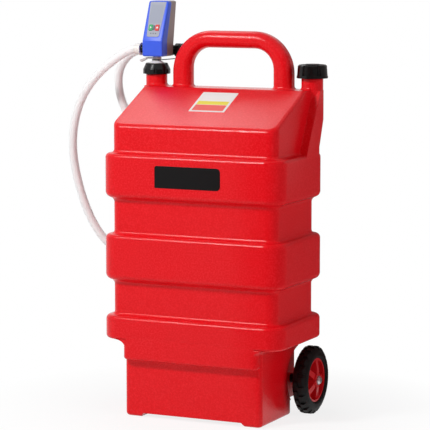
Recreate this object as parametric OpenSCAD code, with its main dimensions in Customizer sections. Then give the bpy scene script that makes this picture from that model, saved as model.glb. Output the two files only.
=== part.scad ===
// Wheeled fuel caddy with a battery transfer pump. Millimetres, +Z up, front faces -Y.
// The origin is under the middle of the caddy, on the floor.

/* [Tank body] */
// Width over the moulded bands
tank_width = 434; // [420:1:450]
// Depth over the moulded bands
tank_depth = 256; // [246:1:266]
// Corner radius of the bands
band_corner = 42; // [38:1:46]
// How far the bands stand proud of the waists
band_step = 19; // [18.5:0.5:22]
// Rounding of the band edges
band_edge = 10; // [7:0.5:10]
// Hollow rounding at the band roots
band_root = 8; // [5:0.5:8]
// Wall thickness of the moulding
tank_wall = 4; // [3:0.5:5]
// Underside of the lowest band
low_band_z = 172; // [166:1:176]
// Height of the lowest band
low_band_h = 53; // [50:1:58]
// Height of the lower waist
low_waist_h = 75; // [70:1:80]
// Height of the middle band
mid_band_h = 105; // [98:1:110]
// Height of the upper waist
top_waist_h = 77; // [72:1:82]
// Height of the top band
top_band_h = 102; // [96:1:108]
// Height of the front wall above the top band
front_wall_h = 62; // [56:1:68]
// Rise of the sloped front up to the deck
slope_rise = 74; // [68:1:80]
// Rounding under the lowest band
low_edge = 8; // [6:0.5:9]
// Height of the curve under the middle and the top band
under_h = 26; // [23:0.5:29]
// Depth position of the crest between slope and deck
crest_y = 47; // [40:1:54]
// Rounding of the shoulder edges
shoulder_edge = 8; // [4:0.5:8]
// Depth position of the rear column step at the top band
column_step_y = 19; // [14:1:24]
// Depth position of the rear column step at the deck
column_deck_y = 94; // [88:1:96]
// Radius of the rear columns
column_r = 25; // [24.8:0.1:26]
// Overhang of the deck behind the waist
deck_overhang = 22; // [16:1:26]

/* [Base] */
// Width of the base
base_width = 331; // [321:1:341]
// Depth of the base
base_depth = 214; // [204:1:218]
// From the side of the base to the end of the suction hose
dip_inset = 56; // [50:1:62]
// Reach of the suction hose to the front
dip_run = 76; // [68:1:84]
// Height of the end of the suction hose
dip_end_z = 60; // [56:1:70]
// Bend of the suction hose below the deck
dip_bend = 20; // [18:1:24]
// How far the apron hangs below the lowest band
apron_drop = 43; // [38:1:48]
// Hollow rounding between base and lowest band
base_root = 20; // [14:1:24]
// Height of the arch between the feet
arch_h = 8.5; // [6:0.5:9]
// Width of the arch between the feet
arch_width = 238; // [220:1:250]
// Depth of the wheel wells in the sides
well_depth = 14; // [10:1:16]
// Radius of the wheel wells
well_r = 69; // [64:1:72]

/* [Handle] */
// Height of the handle above the deck
handle_rise = 126.5; // [120:0.5:134]
// Room between the handle and the caps
handle_gap = 11; // [8:0.5:14]
// Corner radius outside
handle_corner = 94; // [88:1:98]
// Leg width seen from the front
leg_width = 44.5; // [42:0.5:47]
// Bar height seen from the front
bar_height = 38; // [36:0.5:40]
// Corner radius of the hand opening
opening_corner = 46; // [42:1:50]
// Thickness front to back
handle_depth = 44; // [40:1:46]
// Rounding of the long edges
handle_round = 18; // [14:0.5:19]

/* [Necks and caps] */
// How far a neck stands in from its column
neck_ledge = 0.8; // [0.6:0.1:1.2]
// Bore radius of a neck
neck_bore = 18.5; // [17:0.5:19]
// Height of a neck above the deck
neck_h = 44; // [42:0.5:46]
// Height of the plain collar below the thread
collar_h = 25.5; // [24:0.5:27]
// Thread root radius
thread_r = 21.8; // [21.4:0.1:22]
// Thread crest height
thread_h = 1; // [0.6:0.1:1.2]
// Height of the filler cap
cap_h = 31; // [29:0.5:33]
// Thickness of the filler cap's skirt outside the thread
cap_wall = 11.7; // [10:0.1:13]
// Radius of the grip grooves
cap_groove = 5; // [4:0.5:5.5]
// Thickness of the ring nut's skirt outside the thread
nut_wall = 8.2; // [7:0.1:10]
// Thickness of the ring nut's top
nut_top_t = 2.7; // [2:0.1:4]
// Height of the white cone on the adapter
cone_h = 5.6; // [4:0.2:7]

/* [Pump] */
// Height of the knee in the front face above the underside
knee_h = 36; // [33:1:39]
// Room beside the cells
cell_room = 1.7; // [1.4:0.1:2.4]
// Height of the cells above the underside
cell_floor = 52.4; // [51:0.2:56]
// Room above the cells
cell_head = 22.6; // [21:0.2:26]
// Front of the head ahead of the stem
pump_front = 24; // [23:0.5:25]
// Back of the head behind the stem, at its foot
pump_back = 33; // [32:0.5:34]
// How far the front face leans back at the top
lean_front = 36; // [33:1:40]
// How far the back leans at the top
lean_back = 19; // [16:1:21]
// Shell wall
shell_wall = 2.2; // [1.8:0.1:2.6]
// Radius of the white stem
stem_r = 8.5; // [8:0.1:8.8]
// Button width
button_w = 9.5; // [8.5:0.5:10]
// Button height
button_h = 14; // [12:0.5:15]
// Button travel
button_travel = 0.9; // [0.6:0.1:1.1]
// Cell diameter
cell_d = 14.2; // [13.8:0.1:14.4]
// Cell length
cell_l = 50; // [48:0.5:50.5]
// Hose outside diameter
hose_d = 19; // [17:0.5:20]

/* [Wheels] */
// Wheel diameter over the lugs
wheel_d = 152; // [146:1:156]
// Tyre width
tyre_w = 35; // [32:1:37]
// Lug count around one row
lug_count = 22; // [18:1:26]
// Axle diameter
axle_d = 12; // [11:0.5:13]
// Rim radius under the tyre
rim_r = 49; // [46:0.5:51]
// Spokes in a rim
spoke_count = 5; // [5:1:6]
// Room between base and tyre
wheel_gap = 15.5; // [12:0.5:20]
// Axle position ahead of the back of the base
axle_inset = 17; // [14:1:22]

/* [Hidden] */

eps = 0.01;
half_w = tank_width / 2;
half_d = tank_depth / 2;
waist_r = band_corner - band_step;
waist_x = half_w - band_step;
waist_y = half_d - band_step;
low_band_top = low_band_z + low_band_h;
mid_band_z = low_band_top + low_waist_h;
mid_band_top = mid_band_z + mid_band_h;
top_band_z = mid_band_top + top_waist_h;
top_band_top = top_band_z + top_band_h;
slope_z = top_band_top + front_wall_h;
deck_z = slope_z + slope_rise;
slope_k = slope_rise / (crest_y + waist_y);
apron_z = low_band_z - apron_drop;
base_back = base_depth - waist_y;
column_x = half_w - 0.5;
neck_x = column_x - column_r;
neck_y = waist_y + deck_overhang - column_r;
neck_r = column_r - neck_ledge;
neck_top = deck_z + neck_h;
deck_rear = waist_y + deck_overhang;
thread_z = deck_z + collar_h;
thread_pitch = (neck_top - thread_z - 7.5) / 2;
cap_r = thread_r + thread_h + cap_wall;
nut_r = thread_r + thread_h + nut_wall;
nut_z = thread_z + 1.4;
nut_end = neck_top + 4.2 + nut_top_t;
nut_h = nut_end - nut_z;
tether_z = nut_end + cone_h + 0.6;
lever_z = tether_z + 2.8;
handle_z = deck_z + handle_rise;
handle_width = 2 * (neck_x - cap_r - handle_gap);
pump_z = lever_z + 5.9;
knee_z = pump_z + knee_h;
pump_h = cell_floor + cell_l + cell_head;
pump_top = pump_z + pump_h;
pump_width = 3 * (cell_d + 0.2) + 2 * (shell_wall + cell_room);
lean = atan(lean_front / (pump_top - knee_z));
face_len = (pump_top - knee_z) / cos(lean);
back_lean = atan(lean_back / pump_h);
wheel_r = wheel_d / 2;
axle_r = axle_d / 2;
axle_y = base_back - axle_inset;
well_x = base_width / 2 - well_depth;
wheel_face = base_width / 2 + wheel_gap + tyre_w;
hub_in = well_x + 22;
hub_out = wheel_face + 1;
outlet_z = pump_z + 16;
outlet_y = neck_y - 4;
park_y = neck_y + pump_back + 20;
park_z = pump_z + 12;
park_cap_r = 15.5;
// The caddy is centred front to back over everything but the hose
y_mid = (park_y + park_cap_r - half_d) / 2;

red = [0.85, 0.12, 0.15];
black = [0.12, 0.12, 0.12];
white = [0.93, 0.93, 0.9];
grey = [0.62, 0.6, 0.6];
steel = [0.75, 0.76, 0.78];
blue = [0.27, 0.4, 0.92];

module shifted() {
    translate([0, -y_mid, 0]) children();
}

// Rounded rectangle swept with a flat profile: x runs out from the corner axes, y runs up
module sweep_rect(w, d, r, z0, z1) {
    wx = w / 2 - r;
    dy = d / 2 - r;
    translate([-wx, -dy, z0]) cube([2 * wx, 2 * dy, z1 - z0]);
    for (c = [[wx, dy, 0], [-wx, dy, 90], [-wx, -dy, 180], [wx, -dy, 270]])
        translate([c[0], c[1], 0]) rotate([0, 0, c[2]])
            rotate_extrude(angle = 90, $fn = 40) children();
    for (s = [[wx, dy, 0, 2 * dy], [-wx, -dy, 180, 2 * dy], [-wx, dy, 90, 2 * wx], [wx, -dy, 270, 2 * wx]])
        translate([s[0], s[1], 0]) rotate([0, 0, s[2]]) rotate([90, 0, 0])
            linear_extrude(s[3]) children();
}

// Quarter hollow used as a root fillet, inner corner at the origin
module root_2d(r) {
    difference() {
        square(r);
        translate([r, r]) circle(r, $fn = 20);
    }
}

// Block with its two outer corners rounded
module block_2d(x, z0, z1, rb, rt) {
    difference() {
        translate([0, z0]) square([x, z1 - z0]);
        if (rt > 0) translate([x - rt, z1 - rt]) difference() {
            square(rt + 1);
            circle(rt, $fn = 20);
        }
        if (rb > 0) translate([x - rb, z0 + rb]) mirror([0, 1]) difference() {
            square(rb + 1);
            circle(rb, $fn = 20);
        }
    }
}

module slab(w, d, r, z0, z1, rb, rt) {
    sweep_rect(w, d, r, z0, z1) block_2d(r, z0, z1, rb, rt);
}

module band_profile() {
    translate([0, low_band_z]) square([waist_r, top_band_top + 12 - low_band_z]);
    block_2d(band_corner, low_band_z, low_band_top, low_edge, band_edge);
    band_2d(mid_band_z, mid_band_top);
    band_2d(top_band_z, top_band_top);
    for (z = [low_band_top, mid_band_top, top_band_top]) translate([waist_r, z]) root_2d(band_root);
}

// Band whose underside runs into the waist in one curve of two equal arcs
module band_2d(z0, z1) {
    sunk = 0.3;
    s = band_step + sunk;
    r = (s * s + under_h * under_h) / (4 * s);
    zb = z0 - under_h / 3;
    zm = zb + under_h / 2;
    difference() {
        block_2d(band_corner, zm, z1, 0, band_edge);
        translate([band_corner - r, zb + under_h]) mirror([0, 1]) difference() {
            square(r + 1);
            circle(r, $fn = 48);
        }
    }
    difference() {
        translate([waist_r - 1, zb]) square([1 - sunk + s / 2, under_h / 2]);
        translate([waist_r - sunk + r, zb]) circle(r, $fn = 48);
    }
    translate([waist_r - 2, zm - 2]) square([5, 4]);
}

module band_hollow() {
    w = tank_wall;
    translate([0, low_band_z + w]) square([waist_r - w, top_band_top - low_band_z]);
    up = under_h / 2;
    for (b = [[low_band_z + w + 4, low_band_top], [mid_band_z + up, mid_band_top],
        [top_band_z + up, top_band_top]])
        translate([0, b[0]]) square([band_corner - w - 1, b[1] - b[0] - w - 4]);
}

// Shoulder: sloped front block under a flat deck
module shoulder(off) {
    w = 2 * (waist_x - off);
    r = waist_r - off;
    d = 2 * (waist_y - off);
    z0 = off > 0 ? top_band_top + off : top_band_top + 12;
    e = off > 0 ? 0 : shoulder_edge;
    intersection() {
        multmatrix([[1, 0, 0, 0], [0, 1, 0, 0], [0, slope_k, 1, 0], [0, 0, 0, 1]])
            slab(w, d, r, z0 - 120, slope_z + slope_k * waist_y - off * 1.2, 0, e);
        slab(w, d, r, z0, deck_z - off, 0, 0);
    }
}

// Leaning piece of the rear block: the same plan, carried back as it rises
function plan_ring(x, back, r, z) = concat([[-x, back - 150, z], [x, back - 150, z]],
    [for (i = [0:6]) [x - r + r * cos(15 * i), back - r + r * sin(15 * i), z]],
    [for (i = [0:6]) [-x + r - r * sin(15 * i), back - r + r * cos(15 * i), z]]);

module taper_block(x, back, r, z0, z1) {
    low = plan_ring(x, back - deck_overhang, r, z0);
    top = plan_ring(x, back, r, z1);
    n = len(low);
    polyhedron(concat(low, top), concat([[for (i = [0:n - 1]) i]], [[for (i = [0:n - 1]) 2 * n - 1 - i]],
        [for (i = [0:n - 1]) [i, n + i, n + (i + 1) % n, (i + 1) % n]]), 4);
}

// Rear block that carries the necks, stepped out to the band line
module rear_block(off) {
    x = column_x - off;
    r = column_r - off;
    kink_z = deck_z - 66;
    foot_z = top_band_top + 10;
    low_z = top_band_top - 14;
    back = deck_rear - off;
    intersection() {
        union() {
            translate([0, back - 100, 0]) slab(2 * x, 200, r, kink_z, deck_z - off, 0, 0);
            taper_block(x - 0.1, back - 0.1, r, foot_z, kink_z);
            translate([0, back - deck_overhang - 100, 0]) slab(2 * x, 200, r, low_z, foot_z, 0, 0);
        }
        rotate([90, 0, 90]) translate([0, 0, -half_w - 5]) linear_extrude(tank_width + 10)
            polygon([[column_step_y + off - 8, low_z - 1], [column_deck_y + off, deck_z + 1],
                [300, deck_z + 1], [300, low_z - 1]]);
    }
}

module base_block() {
    cy = -waist_y + base_depth / 2;
    difference() {
        union() {
            translate([0, cy, 0]) slab(base_width, base_depth, 12, 0, low_band_z + 24, 8, 0);
            translate([0, -half_d + 60.6, 0]) slab(base_width - 6, 120, 14, apron_z, low_band_z + 24, 6, 0);
            base_roots();
        }
        // Relief behind the feet, so the caddy tips back on its wheels
        translate([-half_w, axle_y - 38, -1]) cube([tank_width, 200, 34]);
        // Arch between the feet
        rotate([90, 0, 0]) linear_extrude(800, center = true)
            polygon([[-arch_width / 2 - 8, -1], [-arch_width / 2, arch_h], [arch_width / 2, arch_h],
                [arch_width / 2 + 8, -1]]);
        // Wheel wells
        for (s = [-1, 1]) translate([s * (well_x + 50), base_back, wheel_r + 5]) rotate([0, 90, 0])
            cylinder(r = well_r, h = 100, center = true, $fn = 72);
    }
}

// Hollow roots where base and apron leave the lowest band, flush with the front
module base_roots() {
    cy = -waist_y + base_depth / 2;
    z0 = low_band_z - base_root - 2;
    intersection() {
        union() {
            translate([0, cy, 0]) sweep_rect(base_width, base_depth, 12, z0, low_band_z + 8) root_ring(12);
            translate([0, -half_d + 60.6, 0])
                sweep_rect(base_width - 6, 120, 14, z0, low_band_z + 8) root_ring(14);
        }
        translate([-half_w, -half_d + 0.9, z0]) cube([tank_width, tank_depth - 16, base_root + 10]);
    }
}

module root_ring(r) {
    translate([0, low_band_z - base_root - 2]) square([r - 0.4, base_root + 10]);
    translate([r, low_band_z]) mirror([0, 1]) sunk_flare_2d(base_root);
}

module base_hollow() {
    w = tank_wall;
    translate([-base_width / 2 + w, -waist_y + w, arch_h + w])
        cube([base_width - 2 * w, base_back - well_r - 2 * w + waist_y, low_band_z + 30 - arch_h]);
    translate([-well_x + w, -waist_y + w, 34 + w])
        cube([2 * well_x - 2 * w, base_depth - 2 * w, low_band_z - 10]);
}

module handle_block() {
    h = handle_width;
    top = handle_z;
    difference() {
        intersection() {
            translate([0, neck_y, top - h / 2]) rotate([90, 0, 0])
                slab(h, h, handle_corner, -handle_depth / 2, handle_depth / 2, handle_round, handle_round);
            translate([-h, 0, deck_z - 3]) cube([2 * h, 400, 400]);
        }
        iw = h - 2 * leg_width;
        translate([0, neck_y, top - bar_height - iw / 2]) rotate([90, 0, 0])
            sweep_rect(iw, iw, opening_corner, -handle_depth, handle_depth) {
                union() {
                    translate([0, -handle_depth]) square([opening_corner, 2 * handle_depth]);
                    for (m = [0, 1]) mirror([0, m]) translate([opening_corner, handle_depth / 2])
                        mirror([0, 1]) root_flare_2d(handle_round);
                }
            }
    }
}

module root_flare_2d(r) {
    difference() {
        translate([-1, -1]) square(r + 1);
        translate([r, r]) circle(r, $fn = 20);
    }
}

// Root fillet sunk a little, so it cuts the faces it joins at a clear angle
module sunk_flare_2d(r) {
    s = 0.05 * r;
    difference() {
        translate([-1, -1]) square(r + 1 - s);
        translate([r - s, r - s]) circle(r, $fn = 24);
    }
}

module tank_outer() {
    sweep_rect(tank_width, tank_depth, band_corner, low_band_z, top_band_top + 12) band_profile();
    shoulder(0);
    rear_block(0);
    base_block();
    handle_block();
    // Hollow roots where the legs and the necks leave the deck
    intersection() {
        union() {
            for (s = [-1, 1]) translate([s * (handle_width - leg_width) / 2, neck_y, 0])
                sweep_rect(leg_width, handle_depth, handle_round, deck_z - 2, deck_z + 8) {
                    union() {
                        translate([0, deck_z - 2]) square([handle_round - 0.3, 10]);
                        translate([handle_round, deck_z]) sunk_flare_2d(9);
                    }
                }
            for (s = [-1, 1]) translate([s * neck_x, neck_y, 0]) rotate_extrude($fn = 64)
                translate([neck_r, deck_z]) sunk_flare_2d(9);
        }
        translate([-waist_x + 1, crest_y, deck_z - 1.5])
            cube([2 * waist_x - 2, deck_rear - crest_y - 1, 30]);
    }
    for (s = [-1, 1]) translate([s * neck_x, neck_y, 0]) {
        translate([0, 0, deck_z - 26]) cylinder(r = neck_r, h = collar_h + 26, $fn = 64);
        translate([0, 0, deck_z - 6]) cylinder(r = thread_r, h = neck_h + 6, $fn = 64);
        for (i = [0:2]) translate([0, 0, thread_z + 4 + thread_pitch * i])
            cylinder(r = thread_r + thread_h, h = 2.2, $fn = 64);
    }
}

module tank() {
    color(red) shifted() difference() {
        tank_outer();
        sweep_rect(tank_width - 0.02, tank_depth - 0.02, band_corner - 0.01, low_band_z + tank_wall,
            top_band_top + tank_wall) band_hollow();
        shoulder(tank_wall);
        rear_block(tank_wall + 0.6);
        difference() {
            base_hollow();
            translate([0, axle_y, wheel_r]) rotate([0, 90, 0])
                cylinder(r = axle_r + 5, h = tank_width, center = true, $fn = 32);
        }
        for (s = [-1, 1]) translate([s * neck_x, neck_y, deck_z - 20])
            cylinder(r = neck_bore, h = neck_h + 40, $fn = 64);
        // Hollow handle
        for (s = [-1, 1]) translate([s * (handle_width - leg_width) / 2, neck_y, deck_z - 20])
            cylinder(r = 16, h = handle_rise - handle_corner + 35, $fn = 40);
        // Axle tunnel
        translate([0, axle_y, wheel_r]) rotate([0, 90, 0])
            cylinder(r = axle_r, h = tank_width, center = true, $fn = 40);
    }
}

// Cap with a grooved grip, open below
module fill_cap() {
    z0 = thread_z + 0.8;
    color(black) shifted() translate([neck_x, neck_y, z0]) difference() {
        union() {
            cylinder(r = cap_r, h = 5, $fn = 72);
            translate([0, 0, 4]) cylinder(r1 = cap_r - 0.6, r2 = cap_r - 2.4, h = cap_h - 8, $fn = 72);
            translate([0, 0, cap_h - 4 - eps])
                cylinder(r1 = cap_r - 2.4, r2 = cap_r - 5, h = 2.5, $fn = 72);
            translate([0, 0, cap_h - 2]) cylinder(r = 15, h = 2, $fn = 48);
        }
        translate([0, 0, -1]) cylinder(r = thread_r + thread_h + 0.4, h = neck_top - z0 + 3, $fn = 64);
        for (i = [0:5]) rotate([0, 0, 60 * i + 20]) translate([cap_r, 0, 6])
            cylinder(r = cap_groove, h = 40, $fn = 24);
        // Ring channel around the centre disc
        translate([0, 0, cap_h - 2.6]) difference() {
            cylinder(r = cap_r - 8, h = 5, $fn = 64);
            translate([0, 0, -1]) cylinder(r = 15, h = 8, $fn = 48);
        }
    }
}

module fill_cap_seal() {
    color([0.2, 0.2, 0.2]) shifted() translate([neck_x, neck_y, neck_top]) difference() {
        cylinder(r = thread_r + 0.6, h = 2, $fn = 64);
        translate([0, 0, -1]) cylinder(r = neck_bore, h = 4, $fn = 64);
    }
}

module ring_nut() {
    z0 = nut_z;
    color(black) shifted() translate([-neck_x, neck_y, z0]) difference() {
        rotate_extrude($fn = 72) polygon([[0, 0], [nut_r, 0], [nut_r, 10], [nut_r - 1, 12],
            [nut_r - 6, nut_h - 1], [nut_r - 7, nut_h], [0, nut_h]]);
        translate([0, 0, -1])
            cylinder(r = thread_r + thread_h + 0.4, h = 1 + neck_top + 4.2 - z0, $fn = 64);
        cylinder(r = 18.6, h = 60, $fn = 64);
        for (i = [0:7]) rotate([0, 0, 45 * i + 20]) translate([nut_r + 1.2, 0, 2])
            cylinder(r = 3.6, h = 40, $fn = 24);
    }
}

// White adapter: flange on the neck rim, cone and stem up to the pump
module neck_adapter() {
    z1 = neck_top + 1.5;
    zc = nut_end;
    color(white) shifted() translate([-neck_x, neck_y, 0]) difference() {
        union() {
            translate([0, 0, z1]) cylinder(r = thread_r, h = 2.3, $fn = 64);
            translate([0, 0, z1 - 14]) cylinder(r = neck_bore - 0.4, h = 15, $fn = 64);
            translate([0, 0, z1 + 1]) cylinder(r1 = 18, r2 = 17, h = zc - z1 - 0.4, $fn = 64);
            translate([0, 0, zc + 0.6 - eps])
                cylinder(r1 = 17, r2 = stem_r + 0.5, h = cone_h - 0.6, $fn = 64);
            translate([0, 0, zc]) cylinder(r = stem_r, h = pump_z - zc, $fn = 48);
        }
        translate([0, 0, z1 - 20]) cylinder(r = 5.5, h = 60, $fn = 32);
        translate([0, 0, z1 - 20]) cylinder(r = dip_r, h = 17, $fn = 32);
    }
}

module adapter_gasket() {
    color([0.2, 0.2, 0.2]) shifted() translate([-neck_x, neck_y, neck_top]) difference() {
        cylinder(r = thread_r, h = 1.5, $fn = 64);
        translate([0, 0, -1]) cylinder(r = neck_bore - 0.2, h = 4, $fn = 64);
    }
}

// Round bar between two points
module rod(p, q, r, n) {
    d = q - p;
    l = norm(d);
    translate(p) rotate([0, acos(d[2] / l), atan2(d[1], d[0])]) cylinder(r = r, h = l, $fn = n);
}

dip_r = 7;
dip_bore = 5;
dip_a = [-neck_x, neck_y, neck_top - 3.5];
dip_b = [-neck_x, neck_y, deck_z - dip_bend];
dip_c = [dip_inset - base_width / 2, neck_y - dip_run, dip_end_z];

module dip_hose() {
    color([0.85, 0.85, 0.85]) shifted() difference() {
        union() {
            rod(dip_a, dip_b, dip_r, 24);
            translate(dip_b) sphere(dip_r, $fn = 24);
            rod(dip_b, dip_c, dip_r, 24);
        }
        rod(dip_a + [0, 0, 1], dip_b, dip_bore, 20);
        translate(dip_b) sphere(dip_bore, $fn = 20);
        rod(dip_b, dip_c + (dip_c - dip_b) / 100, dip_bore, 20);
    }
}

module strainer() {
    d = dip_c - dip_b;
    l = norm(d);
    color(black) shifted() translate(dip_c) rotate([0, acos(d[2] / l), atan2(d[1], d[0])])
        translate([0, 0, -12]) difference() {
            cylinder(r = 10, h = 26, $fn = 32);
            translate([0, 0, -1]) cylinder(r = dip_r, h = 13, $fn = 24);
            translate([0, 0, 11]) cylinder(r = 7.5, h = 13, $fn = 24);
            for (i = [0:5]) rotate([0, 0, 60 * i]) translate([0, -1, 14]) cube([20, 2, 8]);
        }
}

module cap_tether() {
    z = tether_z;
    a = [-neck_x + stem_r + 3.2, neck_y + 2, z];
    b = [-neck_x + 15, neck_y + pump_back + 2, z];
    c = [-neck_x + 26, park_y - 3, z + 1];
    d = [-neck_x + 36, park_y, park_z - 18.8];
    color(black) shifted() {
        translate([-neck_x, neck_y, z]) difference() {
            cylinder(r = stem_r + 2.5, h = 1.6, $fn = 40);
            translate([0, 0, -1]) cylinder(r = stem_r + 0.1, h = 4, $fn = 48);
        }
        for (s = [[a, b], [b, c], [c, d]]) hull() {
            translate(s[0]) cylinder(r = 2.6, h = 1.6, $fn = 20);
            translate(s[1]) cylinder(r = 2.6, h = 1.6, $fn = 20);
        }
        // Upright tab and the loop in the groove of the nozzle cap
        translate([-neck_x + 34.4, park_y - 2, park_z - 18]) cube([3.2, 4, 4]);
        translate([-neck_x + 33.4, park_y, park_z]) rotate([0, 90, 0]) difference() {
            cylinder(r = 15, h = 5.2, $fn = 48);
            translate([0, 0, -1]) cylinder(r = 12.3, h = 8, $fn = 48);
        }
    }
}

module nozzle_cap() {
    color(black) shifted() translate([-neck_x + 22, park_y, park_z]) rotate([0, 90, 0]) difference() {
        union() {
            cylinder(r1 = park_cap_r - 2, r2 = park_cap_r, h = 2, $fn = 48);
            translate([0, 0, 2]) cylinder(r = park_cap_r, h = 9, $fn = 48);
            cylinder(r = 11.9, h = 28, $fn = 48);
            translate([0, 0, 17]) cylinder(r = park_cap_r, h = 10, $fn = 48);
            translate([0, 0, 27]) cylinder(r1 = park_cap_r, r2 = park_cap_r - 3, h = 3, $fn = 48);
        }
        translate([0, 0, -1]) cylinder(r = 9.35, h = 25, $fn = 32);
        for (i = [0:7]) rotate([0, 0, 45 * i + 22.5]) translate([park_cap_r + 1, 0, -1])
            cylinder(r = 2.6, h = 40, $fn = 20);
    }
}

module lock_lever() {
    z = lever_z;
    color(grey) shifted() translate([-neck_x, neck_y, z]) difference() {
        union() {
            cylinder(r = 10.8, h = 3.4, $fn = 40);
            translate([-25, -3, 0.2]) cube([16, 6, 3]);
            rotate([90, 0, 0]) linear_extrude(10, center = true)
                polygon([[-23.5, 3.4], [-24, -0.4], [-38, -7.5], [-40.5, -5.5], [-40.5, -2.5]]);
        }
        translate([0, 0, -1]) cylinder(r = stem_r + 0.05, h = 6, $fn = 48);
    }
}

// Pump head: one convex form, split along a leaning seam
edge_r = 4;
pump_pts = [[-pump_front + edge_r, pump_z + edge_r], [-pump_front + edge_r, knee_z - 1],
    [lean_front - pump_front + 2.6, pump_top - edge_r],
    [pump_back + lean_back * (pump_h - edge_r) / pump_h - edge_r * 1.012, pump_top - edge_r],
    [pump_back + lean_back * edge_r / pump_h - edge_r * 1.012, pump_z + edge_r]];

// Three prisms of one outline give the head its rounded long edges, a fourth cuts its top corners
module pump_form(r) {
    wide = pump_width - 2 * edge_r + 2 * r;
    intersection() {
        hull() for (l = [[0, 0], [0.3, 0.7], [1, 1]])
            rotate([90, 0, 90]) linear_extrude(wide - 2 * l[0] * r, center = true)
                offset(r = l[1] * r, $fn = 20) polygon(pump_pts);
        rotate([90, 0, 0]) linear_extrude(300, center = true) {
            translate([-wide / 2 - 1, pump_z - 1]) square([wide + 2, pump_h - 6.3 - edge_r + r]);
            translate([-wide / 2 + 3.3 + r, pump_z]) square([wide - 6.6 - 2 * r, pump_h + 2]);
            for (s = [-1, 1]) translate([s * (wide / 2 - 3.3 - r), pump_top - edge_r - 3.3])
                circle(r + 3.3, $fn = 32);
        }
    }
}

seam_y = 1.4;
seam_top = lean_front - pump_front + 14;

seam_2d = [[seam_y, pump_z - 20], [seam_y, knee_z], [seam_top, pump_top], [seam_top + 5, pump_top + 10]];

module front_side() {
    rotate([90, 0, 90]) linear_extrude(200, center = true)
        polygon(concat(seam_2d, [[-80, pump_top + 10], [-80, pump_z - 20]]));
}

module rear_side() {
    rotate([90, 0, 90]) linear_extrude(200, center = true)
        polygon(concat(seam_2d, [[140, pump_top + 10], [140, pump_z - 20]]));
}

// Frames on the leaning front face and on the leaning back
module at_stem() {
    shifted() translate([-neck_x, neck_y, 0]) children();
}

module on_face() {
    translate([0, -pump_front, knee_z]) rotate([-lean, 0, 0]) children();
}

module on_back() {
    translate([0, pump_back, pump_z]) rotate([-back_lean, 0, 0]) children();
}

module panel_2d(g) {
    hull() {
        for (s = [-1, 1]) translate([s * (10.5 + g), 14 - g]) circle(5, $fn = 24);
        for (s = [-1, 1]) translate([s * (18.5 + g), 92 + g]) circle(1.5, $fn = 16);
    }
}

// Flat outline to a plate on the face: from depth y0 to y1, measured inward
module face_plate(y0, y1) {
    translate([0, y1, 0]) rotate([90, 0, 0]) linear_extrude(y1 - y0) children();
}

module button_2d(x, g) {
    r = 2;
    translate([x, 31]) {
        square([button_w - 2 * r + 2 * g, button_h + 2 * g], center = true);
        square([button_w + 2 * g, button_h - 2 * r + 2 * g], center = true);
        for (a = [-1, 1]) for (b = [-1, 1])
            translate([a * (button_w / 2 - r + g - g), b * (button_h / 2 - r)]) circle(r + g, $fn = 20);
    }
}

button_x = 8.2;
panel_t = 1.2;
screw_x = pump_width / 2 - 6.2;
motor_z = pump_z + 28;
screw_pts = [[screw_x, motor_z + 6], [screw_x, pump_top - 13]];

function rise(z) = max(0, (z - knee_z) / (pump_top - knee_z));
function seam_at(z) = seam_y + rise(z) * (seam_top - seam_y);
function back_at(z) = pump_back + (z - pump_z) / pump_h * lean_back;
function front_at(z) = -pump_front + rise(z) * lean_front;

module y_bar(x, y0, y1, z, r) {
    translate([x, y0, z]) rotate([-90, 0, 0]) cylinder(r = r, h = y1 - y0, $fn = 24);
}

module outlet_hole() {
    translate([-pump_width / 2 - 5, outlet_y - neck_y, outlet_z]) rotate([0, 90, 0])
        cylinder(r = 7.6, h = 20, $fn = 40);
}

module pump_front_shell() {
    color(blue) at_stem() difference() {
        union() {
            difference() {
                pump_form(edge_r);
                pump_form(edge_r - shell_wall);
                rear_side();
            }
            for (s = [-1, 1]) for (p = screw_pts)
                y_bar(s * p[0], front_at(p[1]) + 1, seam_at(p[1]), p[1], 3.2);
            for (s = [-1, 1]) for (z = [28, 74]) on_face()
                translate([s * 16.8, shell_wall - 0.4, z]) rotate([-90, 0, 0])
                    cylinder(r = 2, h = 9 - shell_wall, $fn = 16);
        }
        on_face() face_plate(-6, panel_t) panel_2d(0);
        for (x = [-button_x, button_x]) on_face() face_plate(-6, 6) button_2d(x, 0.35);
        for (s = [-1, 1]) for (p = screw_pts) y_bar(s * p[0], seam_at(p[1]) - 8, 80, p[1], 1.4);
        // Stem entry and outlet
        translate([0, 0, pump_z - 1]) cylinder(r = 5.5, h = 6, $fn = 32);
        outlet_hole();
    }
}

shelf_w = pump_width - 8;
door_w = pump_width - 7;
door_h = cell_l + 21;

module pump_rear_shell() {
    color(grey) at_stem() difference() {
        union() {
            difference() {
                pump_form(edge_r);
                pump_form(edge_r - shell_wall);
                front_side();
            }
            for (s = [-1, 1]) for (p = screw_pts)
                y_bar(s * p[0], seam_at(p[1]), back_at(p[1]) - 2.6, p[1], 3.2);
            // Shelves that carry the cells
            on_back() translate([-shelf_w / 2, -cell_d - 4.2, cell_floor - 2.4])
                cube([shelf_w, cell_d + 2.6, 1.2]);
            on_back() translate([-shelf_w / 2, -cell_d - 4.2, cell_floor + 2.4 + cell_l])
                cube([shelf_w, cell_d + 2.6, 1.2]);
        }
        // Door recess and opening
        on_back() translate([-door_w / 2 - 0.2, -1.7, cell_floor - 6.4]) cube([door_w + 0.4, 10, 100]);
        on_back() translate([-door_w / 2 + 3, -6, cell_floor - 0.4]) cube([door_w - 6, 10, cell_l + 3]);
        for (s = [-1, 1]) for (p = screw_pts) {
            y_bar(s * p[0], 0, 80, p[1], 1.4);
            y_bar(s * p[0], back_at(p[1]) - 5, 80, p[1], 2.9);
        }
        translate([0, 0, pump_z - 1]) cylinder(r = 5.5, h = 6, $fn = 32);
        outlet_hole();
    }
}

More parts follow.
